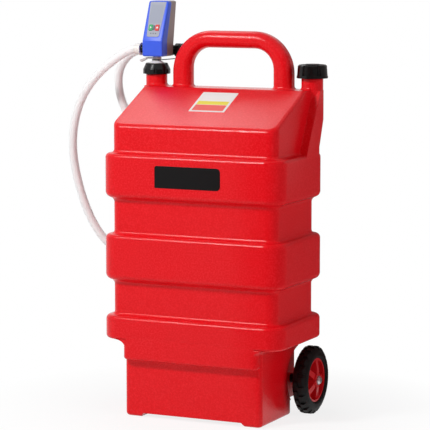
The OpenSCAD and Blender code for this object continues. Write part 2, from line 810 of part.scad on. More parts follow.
module battery_door() {
    z0 = cell_floor - 6.1;
    color(grey) at_stem() on_back() difference() {
        union() {
            translate([-door_w / 2, -1.55, z0]) cube([door_w, 1.5, door_h]);
            for (z = [0:3]) translate([-8, -0.3, z0 + 13.7 + 4 * z]) cube([16, 0.9, 1.4]);
        }
        for (s = [-1, 1]) translate([s * (door_w / 2 + 1.4), -5, z0 + door_h]) rotate([-90, 0, 0])
            cylinder(r = 4, h = 10, $fn = 24);
    }
}

module control_panel() {
    color([0.69, 0.69, 0.73]) at_stem() on_face() difference() {
        face_plate(-0.3, panel_t) panel_2d(-0.15);
        for (x = [-button_x, button_x]) face_plate(-6, 6) button_2d(x, 0.35);
    }
}

module button_solid(x) {
    at_stem() on_face() {
        face_plate(-1.8, 3.2) button_2d(x, 0);
        translate([x - button_w / 2 - 1, 3, 31 - button_h / 2 - 1]) cube([button_w + 2, 1, button_h + 2]);
    }
}

module on_button() {
    color([0.25, 0.65, 0.4]) button_solid(-button_x);
}

module off_button() {
    color([0.8, 0.2, 0.2]) button_solid(button_x);
}

module circuit_board() {
    color([0.1, 0.4, 0.2]) at_stem() on_face() {
        translate([-19, 8.6, 24]) cube([38, 1.6, 56]);
        for (x = [-button_x, button_x]) translate([x - 3, 4 + button_travel + 0.2, 28])
            cube([6, 8.6 - 4 - button_travel - 0.2, 6]);
        translate([-14, 3.2, 48]) cube([28, 5.4, 22]);
    }
}

module battery_cells() {
    color([0.8, 0.6, 0.2]) at_stem() on_back() for (i = [-1:1])
        translate([i * (cell_d + 0.2), -cell_d / 2 - 3.2, cell_floor]) {
            cylinder(d = cell_d, h = cell_l, $fn = 32);
            translate([0, 0, cell_l]) cylinder(d = 5, h = 1.2, $fn = 20);
        }
}

module battery_contacts() {
    color(steel) at_stem() on_back() {
        for (z = [cell_floor - 1.2, cell_floor + 1.2 + cell_l])
            translate([-shelf_w / 2 + 1, -cell_d - 2.4, z]) cube([shelf_w - 2, cell_d - 2, 1.2]);
    }
}

module motor() {
    color(steel) at_stem() difference() {
        translate([0, 0, motor_z]) cylinder(r = 11.5, h = 20, $fn = 48);
        translate([0, 0, motor_z - 1]) cylinder(r = 1.55, h = 12, $fn = 20);
    }
}

module pump_chamber() {
    z = pump_z + shell_wall;
    color([0.85, 0.85, 0.85]) at_stem() difference() {
        union() {
            translate([0, 0, z]) cylinder(r = 19, h = motor_z - z, $fn = 56);
            translate([-pump_width / 2 - 10.4, outlet_y - neck_y, outlet_z]) rotate([0, 90, 0])
                cylinder(r = 7.5, h = 22, $fn = 40);
        }
        translate([0, 0, z + 2]) cylinder(r = 16.5, h = motor_z - z - 6, $fn = 56);
        translate([0, 0, z - 1]) cylinder(r = 5.5, h = 5, $fn = 32);
        translate([-pump_width / 2 - 20, outlet_y - neck_y, outlet_z]) rotate([0, 90, 0])
            cylinder(r = 5, h = 35, $fn = 32);
        translate([0, 0, motor_z - 5]) cylinder(r = 5, h = 4, $fn = 32);
        translate([0, 0, motor_z - 5]) cylinder(r = 2.2, h = 8, $fn = 20);
    }
}

module impeller() {
    z = pump_z + shell_wall + 4;
    color(white) at_stem() {
        translate([0, 0, z]) cylinder(r = 14.5, h = 2, $fn = 48);
        translate([0, 0, z]) cylinder(r = 4, h = 11, $fn = 32);
        translate([0, 0, z]) cylinder(r = 1.5, h = motor_z + 10 - z, $fn = 20);
        for (i = [0:5]) rotate([0, 0, 60 * i]) translate([2, -0.8, z]) cube([12, 1.6, 9]);
    }
}

module shaft_seal() {
    color(black) at_stem() translate([0, 0, motor_z - 4]) difference() {
        cylinder(r = 5, h = 3, $fn = 32);
        translate([0, 0, -1]) cylinder(r = 1.56, h = 5, $fn = 20);
    }
}

module shell_screws() {
    color(steel) at_stem() for (s = [-1, 1]) for (p = screw_pts) {
        y_bar(s * p[0], seam_at(p[1]) - 7, back_at(p[1]) - 5, p[1], 1.4);
        difference() {
            y_bar(s * p[0], back_at(p[1]) - 5, back_at(p[1]) - 3, p[1], 2.8);
            translate([s * p[0], back_at(p[1]) - 3, p[1]]) cube([0.7, 1.6, 4], center = true);
            translate([s * p[0], back_at(p[1]) - 3, p[1]]) cube([4, 1.6, 0.7], center = true);
        }
    }
}

outlet_x = -pump_width / 2;

module at_outlet(turn) {
    at_stem() translate([outlet_x - 10.4, outlet_y - neck_y, outlet_z]) rotate([0, turn, 0]) children();
}

module outlet_ring() {
    color(black) at_outlet(90) difference() {
        union() {
            cylinder(r = 8.6, h = 10.4, $fn = 40);
            translate([0, 0, 4]) cylinder(r = 9.8, h = 4, $fn = 40);
        }
        translate([0, 0, -1]) cylinder(r = 7.5, h = 20, $fn = 40);
    }
}

module hose_cuff() {
    color(white) at_outlet(-90) difference() {
        union() {
            cylinder(r = hose_d / 2 + 5, h = 4, $fn = 48);
            cylinder(r = hose_d / 2 + 3.5, h = 10, $fn = 48);
            cylinder(r = hose_d / 2 + 2.3, h = 16, $fn = 48);
        }
        translate([0, 0, -1]) cylinder(r = 5, h = 30, $fn = 32);
        translate([0, 0, 5]) cylinder(r = hose_d / 2 + 0.5, h = 30, $fn = 32);
    }
}

// Hose route, from the outlet round the loop to the parked nozzle
hose_a = [outlet_x - 15.4 - neck_x, outlet_y, outlet_z];
hose_b = [-neck_x - 22, park_y, park_z];
hose_pts = [hose_a, hose_a + [-14, 0, -0.6], [-275, 104, 790], [-315, 108, 765], [-351, 112, 735],
    [-384, 118, 697], [-407, 124, 655], [-420, 128, 608], [-424, 132, 561], [-420, 137, 513],
    [-408, 142, 459], [-392, 148, 412], [-370, 154, 370], [-341, 160, 339], [-306, 167, 325],
    [-270, 173, 328], [-239, 179, 345], [-217, 184, 373], [-207, 188, 409], [-207, 190, 450],
    [-218, 192, 494], [-240, 192, 542], [-270, 192, 588], [-300, 191, 628], [-322, 188, 670],
    [-330, 184, 710], [-324, 177, 745], [-306, 170, 772], [-279, 164, 791], [-246, 160, 798],
    hose_b + [-10, 0, 0], hose_b];

hose_n = len(hose_pts);
hose_sides = 10;

function hose_mid(i) = let (a = hose_pts[max(i - 1, 0)], b = hose_pts[min(i + 1, hose_n - 1)])
    (b - a) / norm(b - a);
function hose_dir(i) = i == 0 ? [-1, 0, 0] : i == hose_n - 1 ? [1, 0, 0] : hose_mid(i);
function hose_out(i) = let (c = cross(hose_dir(i), [0, 1, 0])) c / norm(c);
function hose_ring(i) = let (u = hose_out(i), v = cross(hose_dir(i), u))
    [for (k = [0:hose_sides - 1]) let (a = 360 * k / hose_sides)
        hose_pts[i] + (u * cos(a) + v * sin(a)) * hose_d / 2];

module hose() {
    m = hose_sides;
    pts = [for (i = [0:hose_n - 1]) each hose_ring(i)];
    faces = concat([[for (k = [0:m - 1]) m - 1 - k]], [[for (k = [0:m - 1]) (hose_n - 1) * m + k]],
        [for (i = [0:hose_n - 2]) for (k = [0:m - 1])
            [i * m + k, i * m + (k + 1) % m, (i + 1) * m + (k + 1) % m, (i + 1) * m + k]]);
    color([0.95, 0.95, 0.95]) shifted() polyhedron(pts, faces, 8);
}

module nozzle() {
    color(black) shifted() translate(hose_b) rotate([0, 90, 0]) difference() {
        union() {
            cylinder(r = 9, h = 62, $fn = 32);
            translate([0, 0, 2]) cylinder(r = 11, h = 34, $fn = 32);
            translate([0, 0, 36]) cylinder(r1 = 12.5, r2 = 10, h = 5, $fn = 32);
        }
        translate([0, 0, 10]) cylinder(r = 6, h = 60, $fn = 24);
    }
}

module on_axle(x) {
    shifted() translate([x, axle_y, wheel_r]) rotate([0, 90, 0]) children();
}

module axle() {
    color(steel) on_axle(-hub_out - 4) cylinder(r = axle_r, h = 2 * hub_out + 8, $fn = 40);
}

module wheel_spacers() {
    color(black) for (s = [-1, 1]) on_axle(s * (well_x + hub_in - 0.5) / 2) difference() {
        cylinder(r = axle_r + 4.5, h = hub_in - 0.5 - well_x, center = true, $fn = 40);
        cylinder(r = axle_r, h = 100, center = true, $fn = 40);
    }
}

// Local z runs outward along the axle, 0 at the inner end of the hub
module rim_solid() {
    face = wheel_face - hub_in;
    inner = face - tyre_w;
    difference() {
        union() {
            cylinder(r = 15, h = hub_out - hub_in, $fn = 48);
            translate([0, 0, face - tyre_w + 4]) difference() {
                cylinder(r = rim_r, h = tyre_w - 8, $fn = 72);
                translate([0, 0, -1]) cylinder(r = rim_r - 4, h = tyre_w, $fn = 72);
            }
            translate([0, 0, inner + 11]) cylinder(r = rim_r - 2.5, h = 5, $fn = 72);
            for (i = [0:spoke_count - 1]) rotate([0, 0, 360 / spoke_count * i + 90]) rotate([90, 0, 0])
                linear_extrude(13, center = true) polygon([[11, inner + 13], [rim_r - 1.2, inner + 13],
                    [rim_r - 1.2, face - 9], [20, face - 2], [11, face - 2]]);
        }
        translate([0, 0, -1]) cylinder(r = 9, h = 100, $fn = 40);
        for (i = [0:spoke_count - 1]) rotate([0, 0, 360 / spoke_count * (i + 0.5) + 90])
            translate([30, 0, 0]) cylinder(r = 8.5, h = 100, $fn = 28);
    }
}

module tyre_solid() {
    face = wheel_face - hub_in;
    c = face - tyre_w / 2;
    h = tyre_w / 2;
    tread = wheel_r - 5;
    difference() {
        union() {
            rotate_extrude($fn = 80) polygon([[rim_r, c - h + 3], [rim_r + 5, c - h], [rim_r + 12, c - h],
                [tread - 5, c - h + 2], [tread, c - h + 7], [tread + 1, c], [tread, c + h - 7],
                [tread - 5, c + h - 2], [rim_r + 12, c + h], [rim_r + 5, c + h], [rim_r, c + h - 3]]);
            for (i = [0:lug_count - 1]) for (s = [0, 1])
                rotate([0, 0, (i + s / 2) * 360 / lug_count]) translate([0, 0, c]) mirror([0, 0, s])
                    rotate([90, 0, 0]) linear_extrude(11, center = true)
                        polygon([[tread - 8, h - 2], [tread - 1, h - 4], [wheel_r - 0.4, h - 8],
                            [wheel_r - 0.25, 1], [tread - 4, 1]]);
        }
        translate([0, 0, c - 100]) cylinder(r = rim_r, h = 200, $fn = 72);
    }
}

module bush_solid() {
    difference() {
        union() {
            translate([0, 0, 0]) cylinder(r = 9, h = hub_out - hub_in, $fn = 40);
            translate([0, 0, -0.4]) cylinder(r = 11, h = 0.4, $fn = 40);
        }
        translate([0, 0, -1]) cylinder(r = axle_r + 0.05, h = 100, $fn = 40);
    }
}

module wheel_side(s) {
    shifted() translate([s * hub_in, axle_y, wheel_r]) rotate([0, s * 90, 0]) children();
}

module left_rim() {
    color(red) wheel_side(-1) rim_solid();
}

module right_rim() {
    color(red) wheel_side(1) rim_solid();
}

module left_tyre() {
    color(black) wheel_side(-1) tyre_solid();
}

module right_tyre() {
    color(black) wheel_side(1) tyre_solid();
}

module left_bush() {
    color(white) wheel_side(-1) bush_solid();
}

module right_bush() {
    color(white) wheel_side(1) bush_solid();
}

module axle_caps() {
    color(steel) for (s = [-1, 1]) shifted() translate([s * (hub_out + 0.4), axle_y, wheel_r])
        rotate([0, s * 90, 0]) difference() {
            union() {
                cylinder(r = 10, h = 2, $fn = 40);
                translate([0, 0, 2]) cylinder(r1 = 9, r2 = 6, h = 4.6, $fn = 40);
            }
            translate([0, 0, -1]) cylinder(r = axle_r, h = 4.6, $fn = 40);
        }
}

tank();
fill_cap();
fill_cap_seal();
ring_nut();
neck_adapter();
adapter_gasket();
dip_hose();
strainer();
cap_tether();
nozzle_cap();
lock_lever();
pump_front_shell();
pump_rear_shell();
battery_door();
control_panel();
on_button();
off_button();
circuit_board();
battery_cells();
battery_contacts();
motor();
pump_chamber();
impeller();
shaft_seal();
shell_screws();
outlet_ring();
hose_cuff();
hose();
nozzle();
axle();
wheel_spacers();
left_rim();
left_tyre();
left_bush();
right_rim();
right_tyre();
right_bush();
axle_caps();
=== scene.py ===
# %% [markdown]
# # A wheeled fuel caddy with a battery pump
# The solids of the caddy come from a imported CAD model. This lesson dresses them: it sets the
# camera, gives each piece the finish of its real material, lays the hose, adds the flat printed
# pieces, and lights the whole on a pale floor. Every length is in metres, in the CAD frame:
# +Z up, -Y to the front, the origin on the floor under the middle.

import math

import bpy
import numpy as np
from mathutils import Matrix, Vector


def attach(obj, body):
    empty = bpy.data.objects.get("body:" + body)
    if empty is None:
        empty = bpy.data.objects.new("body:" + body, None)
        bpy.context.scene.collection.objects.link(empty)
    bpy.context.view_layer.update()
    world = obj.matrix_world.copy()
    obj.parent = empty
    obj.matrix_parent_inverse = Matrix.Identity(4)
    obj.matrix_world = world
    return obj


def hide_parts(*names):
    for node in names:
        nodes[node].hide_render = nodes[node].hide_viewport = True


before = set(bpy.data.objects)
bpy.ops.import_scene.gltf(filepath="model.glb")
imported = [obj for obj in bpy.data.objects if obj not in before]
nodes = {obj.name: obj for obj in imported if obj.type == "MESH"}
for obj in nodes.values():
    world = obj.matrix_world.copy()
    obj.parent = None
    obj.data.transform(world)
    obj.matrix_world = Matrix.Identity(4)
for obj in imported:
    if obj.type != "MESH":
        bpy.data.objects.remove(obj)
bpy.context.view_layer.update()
MM = 0.001
# The middle of the tank stands this far in front of the origin
DEPTH_SHIFT = 0.02325

# %% [markdown]
# ## Camera
# A product photograph is taken from far off with a long lens, so its lines stay nearly parallel.
# The place and the focal length were fitted to the corners of the bands, and the view is
# straight: the camera only looks at its target, with no shift.

# %% Camera
CAMERA_AT = Vector((2.1007, -4.4601, 1.0519))
LOOKS_AT = Vector((0.00478, -DEPTH_SHIFT, 0.44476))
FOCAL_MM = 187.4
SENSOR_MM = 36.0
FAR_CLIP = 50.0


def add_object(name, data):
    """A new object that holds the data, linked to the scene."""
    thing = bpy.data.objects.new(name, data)
    bpy.context.scene.collection.objects.link(thing)
    return thing


def turned_to(at, target):
    """Rotation that points the -Z axis of a camera or a lamp at the target."""
    return (target - at).to_track_quat("-Z", "Y").to_euler()


camera = add_object("camera", bpy.data.cameras.new("camera"))
camera.data.sensor_width = SENSOR_MM
camera.data.lens = FOCAL_MM
camera.data.clip_end = FAR_CLIP
camera.location = CAMERA_AT
camera.rotation_euler = turned_to(CAMERA_AT, LOOKS_AT)
bpy.context.scene.camera = camera
print("camera distance:", round((LOOKS_AT - CAMERA_AT).length, 3))

# %% [markdown]
# ## Colours and nodes
# A colour is read off as sRGB hex and turned to linear light by one function. One more small
# function adds a shader node with its settings and links, and a third starts a material from
# the Principled shader, where every plain number is set on the shader's own socket.


# %% Helpers for materials
def linear(hex_code):
    """Linear RGBA of an sRGB hex colour: ((c + 0.055) / 1.055) ^ 2.4 above the toe."""
    c = np.array([int(hex_code[i : i + 2], 16) for i in (1, 3, 5)]) / 255.0
    low = c / 12.92
    high = ((c + 0.055) / 1.055) ** 2.4
    return tuple(np.where(c <= 0.04045, low, high)) + (1.0,)


def add_node(material, kind, settings=None, links=None):
    """Adds a node of that kind. settings go to its sockets or properties, links to its inputs."""
    node = material.node_tree.nodes.new(kind)
    for name, value in (settings or {}).items():
        if name in node.inputs:
            node.inputs[name].default_value = value
        else:
            setattr(node, name, value)
    for name, socket in (links or {}).items():
        material.node_tree.links.new(socket, node.inputs[name])
    return node


def finish(name, colour, roughness, **sockets):
    """A Principled material with its plain values on the shader's sockets."""
    material = bpy.data.materials.new(name)
    material.use_nodes = True
    shader = material.node_tree.nodes["Principled BSDF"]
    shader.inputs["Base Color"].default_value = linear(colour)
    shader.inputs["Roughness"].default_value = roughness
    for socket, value in sockets.items():
        shader.inputs[socket.replace("_", " ")].default_value = value
    return material


# %% [markdown]
# ## Grain and painted glints
# A moulded skin is never quite even. Noise in the piece's own coordinates stands for that: as
# bump it makes a grain, and through a colour ramp it paints the crests a little paler, a painted
# highlight for the glints of light on the pebbled skin. Where a piece has soft edges, the Bevel
# node rounds them in the shading.

# %% Grain and painted glints
GRAIN_DETAIL = 2.0
PAINTED_GLINT_DETAIL = 1.0
PAINTED_GLINT_STOPS = (0.4, 0.75)
BEVEL_SAMPLES = 6


def noise_over(material, size_mm, detail):
    """Noise from 0 to 1 over the piece, size_mm a cell."""
    place = add_node(material, "ShaderNodeTexCoord")
    noise = add_node(
        material,
        "ShaderNodeTexNoise",
        {"Scale": 1.0 / (size_mm * MM), "Detail": detail},
        {"Vector": place.outputs["Object"]},
    )
    return noise.outputs["Fac"]


def grain(material, size_mm, height_mm, soft_mm=0.0):
    """Bump from noise, size_mm a cell and height_mm deep, over edges softened by soft_mm."""
    bump = add_node(
        material,
        "ShaderNodeBump",
        {"Strength": 1.0, "Distance": height_mm * MM},
        {"Height": noise_over(material, size_mm, GRAIN_DETAIL)},
    )
    links = material.node_tree.links
    if soft_mm:
        settings = {"samples": BEVEL_SAMPLES, "Radius": soft_mm * MM}
        edge = add_node(material, "ShaderNodeBevel", settings)
        links.new(edge.outputs["Normal"], bump.inputs["Normal"])
    shader = material.node_tree.nodes["Principled BSDF"]
    links.new(bump.outputs["Normal"], shader.inputs["Normal"])
    return material


def painted_glints(material, size_mm, pale):
    """Painted highlight: drifts the base colour to a paler one on the crests of noise, standing in
    for glints of light, size_mm a cell.
    """
    base = material.node_tree.nodes["Principled BSDF"].inputs["Base Color"]
    noise = noise_over(material, size_mm, PAINTED_GLINT_DETAIL)
    ramp = add_node(material, "ShaderNodeValToRGB", {}, {"Fac": noise})
    colours = (base.default_value, linear(pale))
    for stop, at, colour in zip(ramp.color_ramp.elements, PAINTED_GLINT_STOPS, colours):
        stop.position = at
        stop.color = colour
    material.node_tree.links.new(ramp.outputs["Color"], base)
    return material


# %% [markdown]
# ## The finishes
# The tank is blow-moulded polyethylene: waxy, with a faint pebbled skin from the mould. Caps,
# nuts and the nozzle are moulded polypropylene. The pump has two shells of ABS, satin blue in
# front and a plain grey behind. The hose is soft milky PVC, the tyres carbon-black rubber, and
# the axle is zinc-plated steel. The grain of the tank is really under a millimetre wide and far
# shallower; it is drawn three wide and 0.4 deep so that it shows, with its crests painted paler
# as a painted highlight for the glints of light on the skin.

# %% Finishes
POLYETHYLENE_RED = finish(
    "red_polyethylene", "#E20713", 0.19, Specular_IOR_Level=0.2, IOR=1.5
)
grain(POLYETHYLENE_RED, size_mm=3.0, height_mm=0.4, soft_mm=3.0)
# Painted highlight: the paler crests stand in for glints of light on the pebbled skin
painted_glints(POLYETHYLENE_RED, size_mm=3.6, pale="#EC1D27")
RIM_RED = finish("red_polypropylene", "#D0121C", 0.38, IOR=1.49)
CAP_BLACK = finish(
    "black_polypropylene", "#0B0A0A", 0.22, Specular_IOR_Level=0.24, IOR=1.49
)
grain(CAP_BLACK, size_mm=1.5, height_mm=0.02)
SEAL_BLACK = finish(
    "black_nitrile_rubber", "#0C0B0B", 0.6, Specular_IOR_Level=0.2, IOR=1.52
)
STEM_WHITE = finish("white_acetal", "#EDE9E4", 0.4, IOR=1.48)
LEVER_GREY = finish("grey_nylon", "#C9BFBC", 0.5, IOR=1.53)
SHELL_GREY = finish("grey_abs", "#978683", 0.45, Specular_IOR_Level=0.3, IOR=1.54)
SHELL_BLUE = finish("blue_abs", "#3D60E4", 0.36, Specular_IOR_Level=0.26, IOR=1.54)
grain(SHELL_BLUE, size_mm=1.0, height_mm=0.004, soft_mm=1.6)
PANEL_GREY = finish(
    "polycarbonate_film", "#A9ACB8", 0.6, Specular_IOR_Level=0.15, IOR=1.58
)
WINDOW_GREY = finish("window_film", "#A0A5B4", 0.55, Specular_IOR_Level=0.15)
KEY_GREEN = finish("green_silicone", "#2F9E62", 0.55, IOR=1.43)
KEY_RED = finish("red_silicone", "#D2322F", 0.55, IOR=1.43)
BOARD_GREEN = finish("glass_epoxy_board", "#1B5A32", 0.5, IOR=1.55)
CELL_JACKET = finish("printed_cell_jacket", "#B98B2C", 0.35, IOR=1.5)
ZINC_STEEL = finish("zinc_plated_steel", "#C9C6C8", 0.35, Metallic=1.0)
HOSE_PVC = finish(
    "milky_pvc",
    "#FAF6F6",
    0.32,
    IOR=1.53,
    Subsurface_Weight=1.0,
    Subsurface_Scale=0.012,
    Subsurface_Radius=(1.0, 1.0, 1.0),
)
DIP_PVC = finish("clear_pvc", "#E4E2DF", 0.3, IOR=1.53)
TYRE_RUBBER = finish(
    "carbon_black_rubber", "#0C0A0A", 0.6, Specular_IOR_Level=0.25, IOR=1.52
)
grain(TYRE_RUBBER, size_mm=2.0, height_mm=0.05)
PRINT_WHITE = finish("white_vinyl", "#EAE6E4", 0.5, Specular_IOR_Level=0.2, IOR=1.53)
PRINT_YELLOW = finish("yellow_ink", "#E6D64E", 0.5, Specular_IOR_Level=0.2, IOR=1.5)
PRINT_RED = finish("red_ink", "#E8635C", 0.5, Specular_IOR_Level=0.2, IOR=1.5)
PRINT_GREY = finish("grey_ink", "#5A5D69", 0.5, Specular_IOR_Level=0.2, IOR=1.5)
PLATE_BLACK = finish("black_vinyl", "#0B0809", 0.5, Specular_IOR_Level=0.12, IOR=1.53)

# %% Which node wears what
WEARS = {
    POLYETHYLENE_RED: ["tank"],
    RIM_RED: ["left_rim", "right_rim"],
    CAP_BLACK: [
        "fill_cap",
        "ring_nut",
        "strainer",
        "outlet_ring",
        "nozzle",
        "wheel_spacers",
        "nozzle_cap",
    ],
    SEAL_BLACK: ["fill_cap_seal", "adapter_gasket", "cap_tether", "shaft_seal"],
    STEM_WHITE: [
        "neck_adapter",
        "hose_cuff",
        "impeller",
        "left_bush",
        "right_bush",
        "pump_chamber",
    ],
    LEVER_GREY: ["lock_lever"],
    SHELL_GREY: ["pump_rear_shell", "battery_door"],
    SHELL_BLUE: ["pump_front_shell"],
    PANEL_GREY: ["control_panel"],
    KEY_GREEN: ["on_button"],
    KEY_RED: ["off_button"],
    BOARD_GREEN: ["circuit_board"],
    CELL_JACKET: ["battery_cells"],
    ZINC_STEEL: ["battery_contacts", "motor", "shell_screws", "axle", "axle_caps"],
    DIP_PVC: ["dip_hose"],
    TYRE_RUBBER: ["left_tyre", "right_tyre"],
}
print("finishes on CAD nodes:", len(WEARS))

# %% [markdown]
# ## Dressing the CAD nodes
# A CAD node arrives as loose triangles. Its vertices stay where they are: a Weld modifier joins
# the triangles, an Edge Split keeps the crease wherever two faces meet at a clear angle, and a
# Weighted Normal lets the large faces lead, so round faces shade smoothly and edges stay crisp.

# %% Dress the nodes
CREASE_DEG = 31.0
WELD_REACH = 1e-6
LARGE_FACE_WEIGHT = 80


def dress(node, material):
    """Gives a CAD node its finish, and smooth shading up to the crease angle."""
    mesh = node.data
    faces = len(mesh.polygons)
    mesh.materials.clear()
    mesh.materials.append(material)
    mesh.polygons.foreach_set("use_smooth", np.ones(faces, dtype=bool))
    mesh.polygons.foreach_set("material_index", np.zeros(faces, dtype=np.int32))
    weld = node.modifiers.new("weld", "WELD")
    weld.merge_threshold = WELD_REACH
    split = node.modifiers.new("crease", "EDGE_SPLIT")
    split.split_angle = math.radians(CREASE_DEG)
    level = node.modifiers.new("flat_faces", "WEIGHTED_NORMAL")
    level.weight = LARGE_FACE_WEIGHT


for material, names in WEARS.items():
    for name in names:
        dress(nodes[name], material)
print("dressed:", sum(len(names) for names in WEARS.values()))

# %% [markdown]
# ## Surfaces from arrays
# Every new piece is a grid of points worked out at once with numpy. `grid_piece` turns such a
# grid into a mesh: the rows run along the first axis, the columns along the second, and a grid
# that closes on itself joins its last column to its first.


# %% Grid to mesh
def grid_piece(name, points, material, closed=False, smooth=True):
    """Mesh over a (rows, columns, 3) array: face (i, j) joins points i, i+1 with j, j+1."""
    rows, columns = points.shape[:2]
    index = np.arange(rows * columns).reshape(rows, columns)
    if closed:
        index = np.concatenate([index, index[:, :1]], axis=1)
    corners = [index[:-1, :-1], index[:-1, 1:], index[1:, 1:], index[1:, :-1]]
    quads = np.stack(corners, axis=-1)
    mesh = bpy.data.meshes.new(name)
    mesh.from_pydata(points.reshape(-1, 3).tolist(), [], quads.reshape(-1, 4).tolist())
    mesh.materials.append(material)
    mesh.polygons.foreach_set("use_smooth", np.full(len(mesh.polygons), smooth))
    mesh.update()
    return add_object(name, mesh)


# %% [markdown]
# ## The hose
# The hose leaves the pump's cuff, hangs beside the tank in one wide loop and comes back up to
# the nozzle behind the pump. A real hose of this kind can't bend sharply, so the route is a row
# of points on one easy curve. A Catmull-Rom spline passes through all of them, and a circle is
# carried along it.

# %% Route of the hose
ROUTE = np.array(
    [
        (-0.2324, 0.102, 0.8018),
        (-0.2464, 0.102, 0.8012),
        (-0.275, 0.104, 0.790),
        (-0.315, 0.108, 0.765),
        (-0.351, 0.112, 0.735),
        (-0.384, 0.118, 0.697),
        (-0.407, 0.124, 0.655),
        (-0.420, 0.128, 0.608),
        (-0.424, 0.132, 0.561),
        (-0.420, 0.137, 0.513),
        (-0.408, 0.142, 0.459),
        (-0.392, 0.148, 0.412),
        (-0.370, 0.154, 0.370),
        (-0.341, 0.160, 0.339),
        (-0.306, 0.167, 0.325),
        (-0.270, 0.173, 0.328),
        (-0.239, 0.179, 0.345),
        (-0.217, 0.184, 0.373),
        (-0.207, 0.188, 0.409),
        (-0.207, 0.190, 0.450),
        (-0.218, 0.192, 0.494),
        (-0.240, 0.192, 0.542),
        (-0.270, 0.192, 0.588),
        (-0.300, 0.191, 0.628),
        (-0.322, 0.188, 0.670),
        (-0.330, 0.184, 0.710),
        (-0.324, 0.177, 0.745),
        (-0.306, 0.170, 0.772),
        (-0.279, 0.164, 0.791),
        (-0.246, 0.160, 0.798),
        (-0.2235, 0.159, 0.7978),
        (-0.2135, 0.159, 0.7978),
    ]
) - (0.0, DEPTH_SHIFT, 0.0)


# %% Spline and tube
def spline(points, steps):
    """Catmull-Rom: each stretch blends four neighbours with cubic weights of its own parameter."""
    before, after = 2 * points[0] - points[1], 2 * points[-1] - points[-2]
    ends = np.concatenate([[before], points, [after]])
    stretches = (ends[:-3], ends[1:-2], ends[2:-1], ends[3:])
    a, b, c, d = (p[:, None, :] for p in stretches)
    t = np.linspace(0.0, 1.0, steps, endpoint=False)[None, :, None]
    curve = 0.5 * (
        2 * b
        + (c - a) * t
        + (2 * a - 5 * b + 4 * c - d) * t**2
        + (3 * b - a - 3 * c + d) * t**3
    )
    return np.concatenate([curve.reshape(-1, 3), points[-1:]])


def tube(path, radius, sides):
    """A circle across the path: path + radius (u cos a + v sin a), with u, v square to the path."""
    along = np.gradient(path, axis=0)
    along /= np.linalg.norm(along, axis=1, keepdims=True)
    u = np.cross(along, (0.0, 1.0, 0.0))
    u /= np.linalg.norm(u, axis=1, keepdims=True)
    v = np.cross(along, u)
    angle = np.linspace(0.0, 2.0 * math.pi, sides, endpoint=False)[None, :, None]
    circle = u[:, None, :] * np.cos(angle) + v[:, None, :] * np.sin(angle)
    return path[:, None, :] + radius * circle


# %% Hose
HOSE_DIAMETER = 0.019
HOSE_STEPS = 8
HOSE_SIDES = 28

hose_path = spline(ROUTE, HOSE_STEPS)
hose_rings = tube(hose_path, HOSE_DIAMETER / 2, HOSE_SIDES)
# Each end closes on a last ring that is shrunk to the middle
ends = hose_rings[[0, -1]].mean(axis=1, keepdims=True)
tips = np.repeat(ends, HOSE_SIDES, axis=1)
hose_points = np.concatenate([tips[:1], hose_rings, tips[1:]])
hose = grid_piece("hose_tube", hose_points, HOSE_PVC, closed=True)
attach(hose, "caddy")
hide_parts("hose")

# %% [markdown]
# ## Flat printed pieces
# A vinyl sticker or an ink print is a thin sheet with rounded corners. `sheet_on` works out such
# a sheet on any plane: the outline is a rounded rectangle, drawn as rings that shrink to a point
# in the middle, and the rim turns down to the surface so that the edge has a real thickness.

# %% Rounded sheet
CORNER_STEPS = 8
# From the foot of the rim to the middle: the size of each ring, and its share of the thickness
RING_SIZE = np.array([1.0, 1.0, 0.985, 0.5, 0.0])
RING_LIFT = np.array([0.0, 0.8, 1.0, 1.0, 1.0])


def rounded_outline(width, height, corner):
    """Outline of a rounded rectangle: each corner circle of its own radius, a quarter turn each."""
    radii = np.broadcast_to(corner, 4)
    signs = np.array([(1, 1), (-1, 1), (-1, -1), (1, -1)])
    turn = np.linspace(0.0, math.pi / 2, CORNER_STEPS)
    angle = turn[None, :] + np.arange(4)[:, None] * math.pi / 2
    centre = signs * (np.array([width, height]) / 2 - radii[:, None])
    circle = np.stack([np.cos(angle), np.sin(angle)], axis=-1) * radii[:, None, None]
    return (centre[:, None, :] + circle).reshape(-1, 2)


def sheet_on(name, origin, across, up, outline, thickness, material, body):
    """A sheet on the plane origin + x across + y up, raised by thickness along their cross."""
    flat = outline[None, :, :] * RING_SIZE[:, None, None]
    lift = RING_LIFT[:, None, None] * thickness
    out = np.cross(across, up)
    points = origin + flat[..., :1] * across + flat[..., 1:] * up + lift * out
    piece = grid_piece(name, points, material, closed=True, smooth=False)
    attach(piece, body)
    return piece


# %% [markdown]
# ## Sticker and plate
# The slope carries a vinyl sticker: a white sheet with a yellow and a red block. The top band
# carries a black plate, rounder at its right-hand corners.

# %% Sticker on the slope
ACROSS = np.array((1.0, 0.0, 0.0))
UPRIGHT = np.array((0.0, 0.0, 1.0))
SLOPE_FRONT = np.array((0.0, -0.109 - DEPTH_SHIFT, 0.646))
SLOPE_CREST = np.array((0.0, 0.047 - DEPTH_SHIFT, 0.720))
STICKER = (0.086, 0.086)
STICKER_CORNER = 0.002
STICKER_UP_SLOPE = 0.1135
STICKER_ASIDE = 0.0045
BLOCK_WIDTH = 0.075
BLOCK_CORNER = 0.001
VINYL_THICK = 0.0003
LAYER_RISE = 0.0002

slope_up = (SLOPE_CREST - SLOPE_FRONT) / np.linalg.norm(SLOPE_CREST - SLOPE_FRONT)
slope_out = np.cross(ACROSS, slope_up)
sticker_middle = SLOPE_FRONT + slope_up * STICKER_UP_SLOPE + ACROSS * STICKER_ASIDE


def on_slope(name, up, size, corner, layer, material):
    """A sheet of the sticker: up the slope from its middle, so many layers above the tank."""
    origin = sticker_middle + slope_up * up + slope_out * layer * LAYER_RISE
    outline = rounded_outline(*size, corner)
    return sheet_on(
        name, origin, ACROSS, slope_up, outline, VINYL_THICK, material, "caddy"
    )


